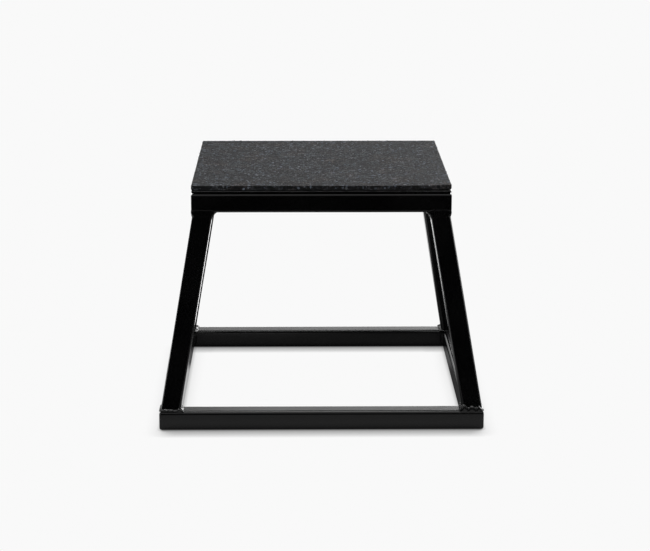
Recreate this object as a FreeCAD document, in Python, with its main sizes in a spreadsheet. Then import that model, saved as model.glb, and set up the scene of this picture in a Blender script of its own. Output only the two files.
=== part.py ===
"""A low plyometric jump box: a splayed frame of welded square tube under a rubber landing mat.

Millimetres. +X is to the right, +Y to the rear and +Z up. The origin is on the floor, under
the middle of the box. Four mitred rails make the base frame, four more make the smaller top
frame, and four legs lean inwards between them, cut level at both ends. A steel deck plate
lies on the top frame, and a rubber mat is glued to the plate.
"""
import FreeCAD, Part
import math
import os

import Sketcher

os.makedirs("parts", exist_ok=True)
doc = FreeCAD.newDocument("plyo_box")

# Driving dimensions
DIMENSIONS = {
    # Overall sizes: outside of the base frame, outside of the top frame, floor to landing surface
    "base_width": 408,
    "base_depth": 408,
    "top_width": 325,
    "top_depth": 325,
    "box_height": 305,
    # Square tube of all rails and legs, with the radius of its outer corners
    "tube_side": 25,
    "tube_wall": 2,
    "tube_corner": 4.5,
    # Outer faces of the legs stand in from the outer faces of the rails
    "leg_inset": 1.75,
    # Mitred corners of both frames, ground round after welding
    "ground_corner": 2,
    # Vent in the underside of each rail, which lets hot air out when the frame is coated
    "vent_bore": 8,
    "vent_from_end": 60,
    # Steel plate on the top frame, its upper edge eased before coating
    "deck_thickness": 3,
    "deck_setback": 0.5,
    "deck_corner": 3,
    "deck_edge": 0.8,
    # Film of glue between the plate and the mat
    "glue_thickness": 0.5,
    "glue_setback": 3,
    # Rubber mat
    "mat_thickness": 6,
    "mat_setback": 0.5,
    "mat_corner": 2,
    "mat_edge": 0.8,
    # Weld round each end of a leg: how far it reaches along the leg and over the rail, and how far
    # it runs down over the rail's round edge
    "leg_bead": 4,
    "leg_bead_drop": 1.7,
    # Upright weld in the inner corner of each mitre
    "corner_bead": 3.5,
    # Stitch welds under the deck: width, length, and distance of each from the rail's middle
    "stitch_bead": 3.5,
    "stitch_root": 1.5,
    "stitch_length": 36,
    "stitch_offset": 78,
    # How far cutting outlines run past the metal that they remove
    "cut_margin": 4,
}

sizes = doc.addObject("Spreadsheet::Sheet", "Sizes")
for row, (alias, millimetres) in enumerate(DIMENSIONS.items(), start=1):
    sizes.set(f"A{row}", alias)
    sizes.set(f"B{row}", str(millimetres))
    sizes.setAlias(f"B{row}", alias)
doc.recompute()

# Heights and leans that follow from the driving dimensions
TUBE = "Sizes.tube_side"
DECK_BOTTOM = "(Sizes.box_height - Sizes.mat_thickness - Sizes.glue_thickness - Sizes.deck_thickness)"
GLUE_BOTTOM = f"({DECK_BOTTOM} + Sizes.deck_thickness)"
MAT_BOTTOM = f"({GLUE_BOTTOM} + Sizes.glue_thickness)"
LEG_TOP = f"({DECK_BOTTOM} - {TUBE})"
LEG_RISE = f"({LEG_TOP} - {TUBE})"
LEAN_X = "((Sizes.base_width - Sizes.top_width) / 2)"
LEAN_Y = "((Sizes.base_depth - Sizes.top_depth) / 2)"
LEAN = f"sqrt({LEAN_X}^2 + {LEAN_Y}^2)"

# A leaning tube, cut level, is a little wider than the tube itself
FOOT_HALF_X = f"({TUBE} / 2 * sqrt(1 + ({LEAN_X} / {LEG_RISE})^2))"
FOOT_HALF_Y = f"({TUBE} / 2 * sqrt(1 + ({LEAN_Y} / {LEG_RISE})^2))"
FOOT_X = f"(Sizes.base_width / 2 - Sizes.leg_inset - {FOOT_HALF_X})"
FOOT_Y = f"(Sizes.base_depth / 2 - Sizes.leg_inset - {FOOT_HALF_Y})"
HEAD_X = f"({FOOT_X} - {LEAN_X})"
HEAD_Y = f"({FOOT_Y} - {LEAN_Y})"

# Sides and corners go round the box in quarter turns, from the front side and its left corner
SIDES = ["front", "right", "rear", "left"]
CORNERS = ["front_left", "front_right", "rear_right", "rear_left"]
QUARTER = math.pi / 2
HALF_TURN = math.degrees(2 * QUARTER)
UP = FreeCAD.Vector(0, 0, 1)
LEVEL = FreeCAD.Rotation()
UPSIDE_DOWN = FreeCAD.Rotation(FreeCAD.Vector(1, 0, 0), HALF_TURN)
HANGING = FreeCAD.Rotation(FreeCAD.Vector(0, 1, 0), HALF_TURN)

# A sketch knows the points of a curve by number, and its own origin as the start of curve -1
START, END, CENTRE = range(1, 4)
SKETCH_ORIGIN = (-1, START)


def measure(formula):
    """Gives a formula's present value in millimetres."""
    return float(sizes.evalExpression(formula))


def signs(corner):
    """Gives the sides of the X and Y axes on which a corner of the box lies."""
    end, side = corner.split("_")
    return (1 if side == "right" else -1), (1 if end == "rear" else -1)


def quarter_turn(place_in_turn):
    """Gives the rotation that brings a piece from the front side, or its left corner, to another."""
    return FreeCAD.Rotation(UP, math.degrees(place_in_turn * QUARTER))


def place(piece, x="0", y="0", z="0", rotation=LEVEL):
    """Puts a piece at a place that follows the driving dimensions."""
    piece.Placement = FreeCAD.Placement(FreeCAD.Vector(), rotation)
    for axis, formula in zip("xyz", (x, y, z)):
        piece.setExpression(f".Placement.Base.{axis}", formula)


def new_body(label):
    body = doc.addObject("PartDesign::Body", label)
    body.Label = label
    return body


def new_sketch(body, name, plane):
    """Starts a sketch on one of a body's own origin planes."""
    sketch = body.newObject("Sketcher::SketchObject", name)
    base = next(item for item in body.Origin.OriginFeatures if item.Role == plane)
    sketch.AttachmentSupport = [(base, "")]
    sketch.MapMode = "FlatFace"
    return sketch


def dimension(sketch, kind, *where, formula):
    """Adds a dimension to a sketch and ties it to a formula."""
    index = sketch.addConstraint(Sketcher.Constraint(kind, *where, measure(formula)))
    sketch.setExpression(f"Constraints[{index}]", formula)


def locate(sketch, point, x, y, sign_x=1, sign_y=1):
    """Dimensions a sketch point from the origin. The signs say on which side of it the point lies."""
    for kind, formula, sign in (("DistanceX", x, sign_x), ("DistanceY", y, sign_y)):
        ends = SKETCH_ORIGIN + point if sign > 0 else point + SKETCH_ORIGIN
        dimension(sketch, kind, *ends, formula=formula)


def join(sketch, kind, first, second):
    sketch.addConstraint(Sketcher.Constraint(kind, *first, *second))


def line(sketch, start, end):
    return sketch.addGeometry(Part.LineSegment(FreeCAD.Vector(*start, 0), FreeCAD.Vector(*end, 0)))


def arc(sketch, centre, radius, start, end):
    circle = Part.Circle(FreeCAD.Vector(*centre, 0), UP, radius)
    return sketch.addGeometry(Part.ArcOfCircle(circle, start, end))


def rounded_rectangle(sketch, half_x, half_y, radius):
    """Draws a rectangle with round corners about the sketch's origin."""
    reach_x = f"({half_x} - {radius})"
    reach_y = f"({half_y} - {radius})"
    quadrants = [(1, 1), (-1, 1), (-1, -1), (1, -1)]
    arcs = []
    for turn, (sx, sy) in enumerate(quadrants):
        centre = (sx * measure(reach_x), sy * measure(reach_y))
        arcs.append(arc(sketch, centre, measure(radius), turn * QUARTER, (turn + 1) * QUARTER))
    for corner, following in zip(arcs, arcs[1:] + arcs[:1]):
        start = sketch.getPoint(corner, END)
        end = sketch.getPoint(following, START)
        side = line(sketch, (start.x, start.y), (end.x, end.y))
        join(sketch, "Tangent", (corner, END), (side, START))
        join(sketch, "Tangent", (side, END), (following, START))
    for corner, (sx, sy) in zip(arcs, quadrants):
        locate(sketch, (corner, CENTRE), reach_x, reach_y, sx, sy)
        dimension(sketch, "Radius", corner, formula=radius)


def tube_outside(sketch):
    """Draws the outside of the square tube."""
    rounded_rectangle(sketch, f"{TUBE} / 2", f"{TUBE} / 2", "Sizes.tube_corner")


def tube_bore(sketch):
    """Draws the inside of the square tube, whose corners keep the wall's thickness."""
    bore_half = f"({TUBE} / 2 - Sizes.tube_wall)"
    rounded_rectangle(sketch, bore_half, bore_half, "(Sizes.tube_corner - Sizes.tube_wall)")


def add_pad(body, sketch, length, below=None, both_ways=False):
    """Pads a sketch upwards, and downwards too if it has a length below."""
    pad = body.newObject("PartDesign::Pad", "Pad")
    pad.Profile = sketch
    pad.setExpression("Length", length)
    if both_ways:
        pad.SideType = "Symmetric"
    if below:
        pad.SideType = "Two sides"
        pad.setExpression("Length2", below)
    return pad


def mitre_outline(sketch, length, end):
    """Draws what is cut from one end of a rail: beyond the 45 degree mitre and the ground corner.

    The rail's outer face is on the sketch's -Y side. The mitre runs through the centre of the
    ground corner's arc, so that the two rails that meet there share one round corner.
    """
    margin = "Sizes.cut_margin"
    round_x = f"({length} / 2 - Sizes.ground_corner)"
    outer_y = f"({TUBE} / 2)"
    inner_x = f"({length} / 2 - {TUBE} - {margin})"
    past_x = f"({length} / 2 + {margin})"
    past_y = f"({TUBE} / 2 + {margin})"
    tangent = (end * measure(round_x), -measure(outer_y))
    radius = measure("Sizes.ground_corner")
    centre = (tangent[0], tangent[1] + radius)
    mitre_angle = QUARTER / 2
    tip = (centre[0] + end * radius * math.cos(mitre_angle), centre[1] - radius * math.sin(mitre_angle))
    below = (tangent[0], -measure(past_y))
    far_inner = (end * measure(inner_x), measure(past_y))
    far_corner = (end * measure(past_x), measure(past_y))
    near_corner = (end * measure(past_x), -measure(past_y))

    if end > 0:
        corner = arc(sketch, centre, radius, -QUARTER, -QUARTER + mitre_angle)
        at_tangent, at_tip = START, END
    else:
        corner = arc(sketch, centre, radius, -QUARTER - mitre_angle, -QUARTER)
        at_tangent, at_tip = END, START
    rise = line(sketch, below, tangent)
    mitre = line(sketch, tip, far_inner)
    back = line(sketch, far_inner, far_corner)
    side = line(sketch, far_corner, near_corner)
    front = line(sketch, near_corner, below)

    join(sketch, "Coincident", (rise, END), (corner, at_tangent))
    join(sketch, "Coincident", (corner, at_tip), (mitre, START))
    for before, after in ((mitre, back), (back, side), (side, front), (front, rise)):
        join(sketch, "Coincident", (before, END), (after, START))
    for level in (back, front):
        sketch.addConstraint(Sketcher.Constraint("Horizontal", level))
    for upright in (rise, side):
        sketch.addConstraint(Sketcher.Constraint("Vertical", upright))
    join(sketch, "Vertical", (corner, CENTRE), (rise, END))
    sketch.addConstraint(Sketcher.Constraint("PointOnObject", corner, CENTRE, mitre))
    dimension(sketch, "Radius", corner, formula="Sizes.ground_corner")
    locate(sketch, (rise, END), round_x, outer_y, end, -1)
    locate(sketch, (mitre, END), inner_x, past_y, end, 1)
    locate(sketch, (side, END), past_x, past_y, end, -1)


def mitred_rail(frame, side, width, depth, middle_z):
    """Makes one hollow rail of a frame, with a mitre at each end and a vent below."""
    length = width if side in ("front", "rear") else depth
    body = new_body(f"{frame}_{side}_rail")
    section = new_sketch(body, "Section", "YZ_Plane")
    tube_outside(section)
    tube_bore(section)
    add_pad(body, section, length, both_ways=True)

    ends = new_sketch(body, "Mitres", "XY_Plane")
    mitre_outline(ends, length, 1)
    mitre_outline(ends, length, -1)
    mitres = body.newObject("PartDesign::Pocket", "MitreCut")
    mitres.Profile = ends
    mitres.SideType = "Symmetric"
    mitres.Type = "ThroughAll"

    bore = new_sketch(body, "Vent", "XY_Plane")
    vent_x = f"({length} / 2 - Sizes.vent_from_end)"
    centre = FreeCAD.Vector(measure(vent_x), 0, 0)
    ring = bore.addGeometry(Part.Circle(centre, UP, measure("Sizes.vent_bore / 2")))
    dimension(bore, "Diameter", ring, formula="Sizes.vent_bore")
    locate(bore, (ring, CENTRE), vent_x, "0")
    vent = body.newObject("PartDesign::Pocket", "VentCut")
    vent.Profile = bore
    vent.Type = "ThroughAll"

    out_x = f"({width} / 2 - {TUBE} / 2)"
    out_y = f"({depth} / 2 - {TUBE} / 2)"
    x = {"left": f"-{out_x}", "right": out_x}.get(side, "0")
    y = {"front": f"-{out_y}", "rear": out_y}.get(side, "0")
    place(body, x, y, middle_z, quarter_turn(SIDES.index(side)))
    return body


def lean_with_leg(body, corner):
    """Stands a body on a leg's centre line, turned the least that brings its Z axis along the leg."""
    sx, sy = signs(corner)
    middle_x = f"{sx} * ({FOOT_X} + {HEAD_X}) / 2"
    middle_y = f"{sy} * ({FOOT_Y} + {HEAD_Y}) / 2"
    place(body, middle_x, middle_y, f"({LEG_TOP} + {TUBE}) / 2")
    body.setExpression(".Placement.Rotation.Axis.x", f"{sy} * {LEAN_Y}")
    body.setExpression(".Placement.Rotation.Axis.y", f"{-sx} * {LEAN_X}")
    body.setExpression(".Placement.Rotation.Axis.z", "0")
    body.setExpression(".Placement.Rotation.Angle", f"atan2({LEAN}; {LEG_RISE})")


def leg_bar(name, corner, outline):
    """Makes a long leaning bar, whose section is one of the tube's two outlines."""
    bar = new_body(f"{name}_{corner}")
    section = new_sketch(bar, "Section", "XY_Plane")
    outline(section)
    add_pad(bar, section, f"sqrt({LEG_RISE}^2 + {LEAN}^2) + 2 * {TUBE}", both_ways=True)
    lean_with_leg(bar, corner)
    return bar


def boolean(kind, label, base, tool):
    result = doc.addObject(f"Part::{kind}", label)
    result.Label = label
    result.Base = base
    result.Tool = tool
    return result


def slab(label, width, depth, bottom, height):
    """Makes a plain block over the middle of the box, which other shapes are trimmed to."""
    block = doc.addObject("Part::Box", label)
    block.setExpression("Length", width)
    block.setExpression("Width", depth)
    block.setExpression("Height", height)
    place(block, f"-{width} / 2", f"-{depth} / 2", bottom)
    return block


def top_rim(feature):
    """Names the edges round a flat-topped feature's upper face."""
    middle = feature.Shape.BoundBox.Center.z
    return [
        f"Edge{number}"
        for number, edge in enumerate(feature.Shape.Edges, start=1)
        if edge.BoundBox.ZMin > middle
    ]


def round_rim(body, feature, radius):
    """Rounds the edges round a flat-topped feature's upper face."""
    doc.recompute()
    fillet = body.newObject("PartDesign::Fillet", "RoundRim")
    fillet.Base = (feature, top_rim(feature))
    fillet.setExpression("Radius", radius)


def slope_rim(body, feature, fall, reach):
    """Slopes the edges round a flat-topped feature's upper face, down by the fall and in by the reach."""
    doc.recompute()
    slope = body.newObject("PartDesign::Chamfer", "SlopeRim")
    slope.Base = (feature, top_rim(feature))
    slope.ChamferType = "Two distances"
    slope.setExpression("Size", fall)
    slope.setExpression("Size2", reach)


def sheet(label, setback, radius, bottom, thickness, round_edge=None, eased_edge=None):
    """Makes one flat layer of the top: a rounded rectangle set in from the top frame's edge."""
    body = new_body(label)
    outline = new_sketch(body, "Outline", "XY_Plane")
    half_x = f"(Sizes.top_width / 2 - {setback})"
    half_y = f"(Sizes.top_depth / 2 - {setback})"
    rounded_rectangle(outline, half_x, half_y, radius)
    layer = add_pad(body, outline, thickness)
    if round_edge:
        round_rim(body, layer, round_edge)
    if eased_edge:
        slope_rim(body, layer, eased_edge, eased_edge)
    place(body, z=bottom)
    return body


def group(label, members):
    """Gathers separate solids of one kind in one sub-part."""
    compound = doc.addObject("Part::Compound", label)
    compound.Label = label
    compound.Links = members
    return compound


def dressed_outline(name, width, depth, z, rotation, lean):
    """Makes the block that the leg welds of one frame are dressed to.

    It is flush with the rails' outer faces and round about the legs' corners. Past the legs' ends
    it slopes in to where the welds end. The lean is how far a leg moves in over that height.
    """
    body = new_body(f"{name}_outline")
    sketch = new_sketch(body, "Outline", "XY_Plane")
    rounded_rectangle(sketch, f"{width} / 2", f"{depth} / 2", "(Sizes.leg_inset + Sizes.tube_corner)")
    block = add_pad(body, sketch, "Sizes.leg_bead", TUBE)
    slope_rim(body, block, "Sizes.leg_bead", f"Sizes.leg_inset + ({lean})")
    place(body, z=z, rotation=rotation)
    return body


def leg_weld(name, corner, x, y, z, rotation, outline, metal):
    """Makes the weld round one end of a leg: what a slope-sided pad leaves clear of the metal."""
    sx, sy = signs(corner)
    pad = new_body(f"{name}_pad_{corner}")
    sketch = new_sketch(pad, "Outline", "XY_Plane")
    half_x = f"({FOOT_HALF_X} + Sizes.leg_bead)"
    half_y = f"({FOOT_HALF_Y} + Sizes.leg_bead)"
    rounded_rectangle(sketch, half_x, half_y, "(Sizes.tube_corner + Sizes.leg_bead)")
    block = add_pad(pad, sketch, "Sizes.leg_bead", "Sizes.leg_bead_drop")
    slope_rim(pad, block, "Sizes.leg_bead", "Sizes.leg_bead")
    place(pad, f"{sx} * {x}", f"{sy} * {y}", z, rotation)
    dressed = boolean("Common", f"{name}_dressed_{corner}", pad, outline)
    return boolean("Cut", f"{name}_{corner}", dressed, group(f"{name}_metal_{corner}", metal))


def quarter_round(sketch, radius, root=None):
    """Draws a weld's quarter disc about the sketch's origin, with a root behind it if it has one."""
    bead = measure(radius)
    cap = arc(sketch, (0, 0), bead, 0, QUARTER)
    back_x = -measure(root) if root else 0
    outline = [(0, bead), (back_x, bead), (back_x, 0), (bead, 0)]
    corners = [point for number, point in enumerate(outline) if root or number != 1]
    walls = [line(sketch, start, end) for start, end in zip(corners, corners[1:])]
    join(sketch, "Coincident", (cap, END), (walls[0], START))
    for before, after in zip(walls, walls[1:]):
        join(sketch, "Coincident", (before, END), (after, START))
    join(sketch, "Coincident", (walls[-1], END), (cap, START))
    sketch.addConstraint(Sketcher.Constraint("Horizontal", walls[-1]))
    sketch.addConstraint(Sketcher.Constraint("Vertical", walls[-2]))
    join(sketch, "Coincident", (cap, CENTRE), SKETCH_ORIGIN)
    join(sketch, "Horizontal", (cap, CENTRE), (cap, START))
    join(sketch, "Vertical", (cap, CENTRE), (cap, END))
    dimension(sketch, "Radius", cap, formula=radius)
    if root:
        sketch.addConstraint(Sketcher.Constraint("Horizontal", walls[0]))
        dimension(sketch, "DistanceX", walls[1], END, *SKETCH_ORIGIN, formula=root)


def corner_welds(frame, width, depth, bottom):
    """Makes the upright welds in a frame's inner corners, along the flat of the rails' faces."""
    welds = []
    for turn, corner in enumerate(CORNERS):
        sx, sy = signs(corner)
        weld = new_body(f"{frame}_corner_weld_{corner}")
        section = new_sketch(weld, "Section", "XY_Plane")
        quarter_round(section, "Sizes.corner_bead")
        add_pad(weld, section, f"{TUBE} - 2 * Sizes.tube_corner")
        x = f"{sx} * ({width} / 2 - {TUBE})"
        y = f"{sy} * ({depth} / 2 - {TUBE})"
        place(weld, x, y, f"{bottom} + Sizes.tube_corner", quarter_turn(turn))
        welds.append(weld)
    return group(f"{frame}_corner_welds", welds)


def deck_stitch(side, sign):
    """Makes one short weld under the deck, in the hollow over a top rail's inner edge."""
    blank = new_body(f"stitch_blank_{side}")
    section = new_sketch(blank, "Section", "YZ_Plane")
    quarter_round(section, "Sizes.stitch_bead", "Sizes.stitch_root")
    add_pad(blank, section, "Sizes.stitch_length", both_ways=True)
    along = f"{sign} * Sizes.stitch_offset"
    inner_x = f"(Sizes.top_width / 2 - {TUBE})"
    inner_y = f"(Sizes.top_depth / 2 - {TUBE})"
    x = {"left": f"-{inner_x}", "right": inner_x}.get(side, along)
    y = {"front": f"-{inner_y}", "rear": inner_y}.get(side, along)
    place(blank, x, y, DECK_BOTTOM, quarter_turn(SIDES.index(side)) * HANGING)
    return boolean("Cut", f"stitch_{side}", blank, top_rails[side])


BASE = ("Sizes.base_width", "Sizes.base_depth")
TOP = ("Sizes.top_width", "Sizes.top_depth")
base_rails = {side: mitred_rail("base", side, *BASE, f"{TUBE} / 2") for side in SIDES}
top_rails = {side: mitred_rail("top", side, *TOP, f"({DECK_BOTTOM} - {TUBE} / 2)") for side in SIDES}

level_slab = slab("LevelSlab", *BASE, TUBE, LEG_RISE)
leg_cores = {}
legs = {}
for corner in CORNERS:
    bar = leg_bar("leg_bar", corner, tube_outside)
    bore = leg_bar("leg_bore", corner, tube_bore)
    leg_cores[corner] = boolean("Common", f"leg_core_{corner}", bar, level_slab)
    legs[corner] = boolean("Cut", f"leg_{corner}", leg_cores[corner], bore)

layers = [
    sheet("deck_plate", "Sizes.deck_setback", "Sizes.deck_corner", DECK_BOTTOM,
          "Sizes.deck_thickness", eased_edge="Sizes.deck_edge"),
    sheet("mat_glue", "Sizes.glue_setback", "Sizes.mat_corner", GLUE_BOTTOM, "Sizes.glue_thickness"),
    sheet("rubber_mat", "Sizes.mat_setback", "Sizes.mat_corner", MAT_BOTTOM,
          "Sizes.mat_thickness", round_edge="Sizes.mat_edge"),
]

weld_lean = f"Sizes.leg_bead * {LEAN_X} / {LEG_RISE}"
base_outline = dressed_outline("base", *BASE, TUBE, LEVEL, weld_lean)
top_outline = dressed_outline("top", *TOP, LEG_TOP, UPSIDE_DOWN, f"-{weld_lean}")
foot_welds = []
head_welds = []
for corner in CORNERS:
    foot = (FOOT_X, FOOT_Y, TUBE, LEVEL, base_outline)
    head = (HEAD_X, HEAD_Y, LEG_TOP, UPSIDE_DOWN, top_outline)
    foot_metal = [leg_cores[corner], *(base_rails[side] for side in corner.split("_"))]
    head_metal = [leg_cores[corner], *(top_rails[side] for side in corner.split("_"))]
    foot_welds.append(leg_weld("foot_weld", corner, *foot, foot_metal))
    head_welds.append(leg_weld("head_weld", corner, *head, head_metal))
stitches = [deck_stitch(side, sign) for side in SIDES for sign in (-1, 1)]
welds = [
    group("leg_foot_welds", foot_welds),
    group("leg_head_welds", head_welds),
    corner_welds("base", *BASE, "0"),
    corner_welds("top", *TOP, LEG_TOP),
    group("deck_stitch_welds", stitches),
]
pieces = [*base_rails.values(), *top_rails.values(), *legs.values(), *layers, *welds]

doc.recompute()
for item in doc.Objects:
    if {"Invalid", "Error"} & set(item.State):
        raise RuntimeError(f"{item.Label} failed: {item.State}")
for piece in pieces:
    if piece.Shape.isNull() or not piece.Shape.isValid() or not piece.Shape.Solids:
        raise RuntimeError(f"{piece.Label} has no valid solid")
for piece in pieces:
    piece.Shape.exportStep(f"parts/{piece.Label}.step")
    print(piece.Label, len(piece.Shape.Solids), round(piece.Shape.Volume, 1))
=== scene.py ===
"""Dresses a low plyometric jump box for a studio picture.

The frame keeps its solid rails and legs and gets a black powder coat. The welds become rippled
beads, and the landing mat becomes crumb rubber with coloured flecks. Lengths are in metres, in
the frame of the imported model: +X to the right, +Y to the rear and +Z up from the floor.
"""
import math

import bpy
from bpy.props import FloatProperty, FloatVectorProperty, IntProperty, PointerProperty
from mathutils import Matrix, Vector, noise


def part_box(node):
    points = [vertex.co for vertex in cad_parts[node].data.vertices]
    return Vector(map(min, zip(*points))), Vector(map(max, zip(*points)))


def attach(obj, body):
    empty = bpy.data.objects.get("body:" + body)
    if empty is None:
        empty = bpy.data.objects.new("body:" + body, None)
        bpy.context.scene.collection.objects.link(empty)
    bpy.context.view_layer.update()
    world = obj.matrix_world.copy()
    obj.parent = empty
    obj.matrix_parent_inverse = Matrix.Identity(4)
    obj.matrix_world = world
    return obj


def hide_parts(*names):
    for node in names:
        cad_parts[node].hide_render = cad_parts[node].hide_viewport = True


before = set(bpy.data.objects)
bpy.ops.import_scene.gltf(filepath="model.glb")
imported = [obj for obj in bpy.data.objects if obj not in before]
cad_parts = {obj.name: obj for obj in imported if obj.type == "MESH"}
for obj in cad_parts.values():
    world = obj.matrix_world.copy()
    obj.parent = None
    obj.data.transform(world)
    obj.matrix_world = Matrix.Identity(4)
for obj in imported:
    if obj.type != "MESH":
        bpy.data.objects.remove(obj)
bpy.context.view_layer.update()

bl_info = {
    "name": "Plyo Box",
    "version": (1, 0, 0),
    "blender": (4, 5, 0),
    "location": "View3D > Sidebar > Plyo Box",
    "description": "Coats, welds and mats the frame of a jump box, and sets it in a studio",
    "category": "Object",
}

BODY = "root"
MM = 0.001
UP = Vector((0, 0, 1))
QUARTER = math.pi / 2

SIDES = ("front", "right", "rear", "left")
CORNERS = {
    "front_left": (-1, -1),
    "front_right": (1, -1),
    "rear_right": (1, 1),
    "rear_left": (-1, 1),
}
TUBES = [f"{level}_{side}_rail" for level in ("base", "top") for side in SIDES]
TUBES += [f"leg_{corner}" for corner in CORNERS]

# Sizes of the steelwork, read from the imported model
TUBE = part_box("base_front_rail")[1].z
BASE_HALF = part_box("base_right_rail")[1].x
TOP_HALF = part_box("top_right_rail")[1].x
LEG_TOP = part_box("top_front_rail")[0].z
DECK_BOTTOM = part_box("deck_plate")[0].z
MAT_LOW, MAT_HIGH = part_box("rubber_mat")
LEG_LOW, LEG_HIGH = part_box("leg_rear_right")

# Middle of a noise pattern, which runs from 0 to 1
NOISE_MIDDLE = 0.5

# Coat: slopes from first to full dust, and noise from full to thin coat
DUST_RANGE = (0.993, 0.999)
CLOUD_RANGE = (0.35, 0.65)
# How patches, orange peel and the deck plate change its roughness
CLOUD_ROUGHNESS = 0.08
PEEL_ROUGHNESS = 0.04
DECK_ROUGHER = 0.08

# Glue: brush marks, roughness, and what thin glue adds to it
BRUSH_SIZE = 6 * MM
BRUSH_DEPTH = 0.1 * MM
GLUE_ROUGHNESS = 0.45
THIN_GLUE_ROUGHER = 0.25

# Crumb rubber: stray of the borders and width of the joints, in crumbs
CRUMB_STRAY = 0.6
JOINT_WIDTH = 0.14
# Sizes of its patterns
GRAIN_SIZE = 0.5 * MM
PATCH_SIZE = 16 * MM
WARM_SIZE = 35 * MM
SCUFF_SIZE = 90 * MM
# Levels over which scuffs, brown patches, worn crumbs and the top come in
SCUFF_RANGE = (0.42, 0.68)
WARM_RANGE = (0.45, 0.75)
WORN_RANGE = (0.35, 1.0)
TOP_RANGE = (0.3, 0.9)
# Wear everywhere, and what scuffs and worn patches add
EVEN_WEAR = 0.15
SCUFF_WEAR = 0.3
PATCH_WEAR = 0.9
# Roughness everywhere, and what a crumb's tone and the grain add
CRUMB_ROUGHNESS = 0.72
TONE_ROUGHER = 0.16
GRAIN_ROUGHER = 0.1
# Height over the joints, and what tone and grain add, in depths of the skin
JOINT_HEIGHT = 0.7
TONE_HEIGHT = 0.4
GRAIN_HEIGHT = 0.35
SKIN_DEPTH = 0.25 * MM

# Flecks: grain, roughness, and what the grain adds to it
FLECK_GRAIN = 0.4 * MM
FLECK_DEPTH = 0.08 * MM
FLECK_ROUGHNESS = 0.7
FLECK_ROUGHER = 0.2
# Tones from blue to grey, runs from bright to dim, and the ends of a run
GREY_RANGE = (0.55, 0.75)
DIM_RUNS = 7.0
DIM_RANGE = (0.25, 0.85)
# Width in lengths, the least tone, and the lowest slope that has flecks
NARROW_RANGE = (0.45, 0.95)
LEAST_TONE = 0.001
LOWEST_SLOPE = -0.1
# Ragged outline, and the share of it upwards
RAGGED_SIZE = 0.9 * MM
RAGGED_REACH = 0.7 * MM
RAGGED_UP = 0.15
# How far the crumbs lie below the plain surface, in reliefs
CRUMB_LEVEL = 0.1

# Beads: rings in a ripple, points in a ring, half the crown's angle, size of a tapered end
RIPPLE_RINGS = 7.0
RING_POINTS = 20
CROWN_ANGLE = math.radians(50)
TAPER = 0.35
# Ripples: unevenness in pitches, lean, and the level that stays
RIPPLE_STRAY = 0.9
RIPPLE_LEAN = 1.5
RIPPLE_LEVEL = 0.6
# Rise from a bead's sunk side to its climbing side
CLIMB_RANGE = (-0.2, 0.2)
# Shift from the noise of the lumps to that of the stray
STRAY_SHIFT = (0.1, 0.2, 0.3)

# Mesh steps round a leg's corner, round the mat's edges and down its side
CORNER_STEPS = 6
EDGE_STEPS = 3
SIDE_STEPS = 4
# Share of the half width where the mat's cut edge begins, and slack of a test
RIM = 0.98
SLACK = 1e-9

# Studio: directions over which its light changes
REAR_RANGE = (-0.1, 0.35)
RIGHT_RANGE = (-0.35, 0.3)
HIGH_RANGE = (0.35, 0.6)
ABOVE_RANGE = (0.25, 0.9)
# Floor: samples of the sky, rise of the painted shadow's light, and width of a strip of painted
# shade
SKY_SAMPLES = 16
SHADOW_RISE = 0.5
STRIP = 2 * TUBE
CAMERA_SIGHT = 100.0


# Settings that a user would change

def length(name, millimetres, description):
    """Makes a setting for a length."""
    return FloatProperty(
        name=name, description=description, default=millimetres * MM,
        subtype="DISTANCE", unit="LENGTH", precision=6,
    )


def share(name, default, description, most=1.0):
    """Makes a setting for a plain number."""
    return FloatProperty(
        name=name, description=description, default=default, min=0.0, max=most, precision=4
    )


def tint(name, default, description):
    """Makes a setting for a linear colour."""
    return FloatVectorProperty(
        name=name, description=description, default=default, size=3, subtype="COLOR", min=0, max=1
    )


def spot(name, default, description):
    """Makes a setting for a place."""
    return FloatVectorProperty(
        name=name, description=description, default=default, subtype="XYZ", unit="LENGTH"
    )


def wattage(name, default, description):
    """Makes a setting for the power of a light."""
    return FloatProperty(name=name, description=description, default=default, unit="POWER")


def bearing(name, degrees, description):
    """Makes a setting for an angle."""
    return FloatProperty(
        name=name, description=description, default=math.radians(degrees), subtype="ANGLE"
    )


class PLYOBOX_PG_coat(bpy.types.PropertyGroup):
    """Powder coat of the steelwork, and the glue on it."""

    full: tint("Full coat", (0.0018, 0.0018, 0.0020), "Colour where the coat is thick")
    thin: tint("Thin coat", (0.0030, 0.0030, 0.0032), "Colour where the coat is thin")
    roughness: share("Roughness", 0.18, "Roughness of the coat on the tubes")
    level_roughness: share("Level roughness", 0.50, "Roughness on level faces, where dust lies")
    weld_roughness: share("Weld roughness", 0.26, "Roughness of the coat on the welds")
    foot_roughness: share("Foot weld roughness", 0.20, "Roughness of the coat on the foot welds")
    ior: share("Refractive index", 1.5, "Refractive index of the coat", most=3.0)
    foot_ior: share("Foot weld index", 1.65, "Refractive index on the foot welds", most=3.0)
    peel_size: length("Orange peel size", 1.6, "Distance between the coat's soft bumps")
    peel_depth: length("Orange peel depth", 0.005, "Height of the coat's soft bumps")
    cloud_size: length("Cloud size", 60, "Size of the thick and thin patches")
    glue_thick: tint("Thick glue", (0.006, 0.0055, 0.005), "Colour where the glue is thick")
    glue_thin: tint("Thin glue", (0.016, 0.014, 0.012), "Colour where the glue is thin")


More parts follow.
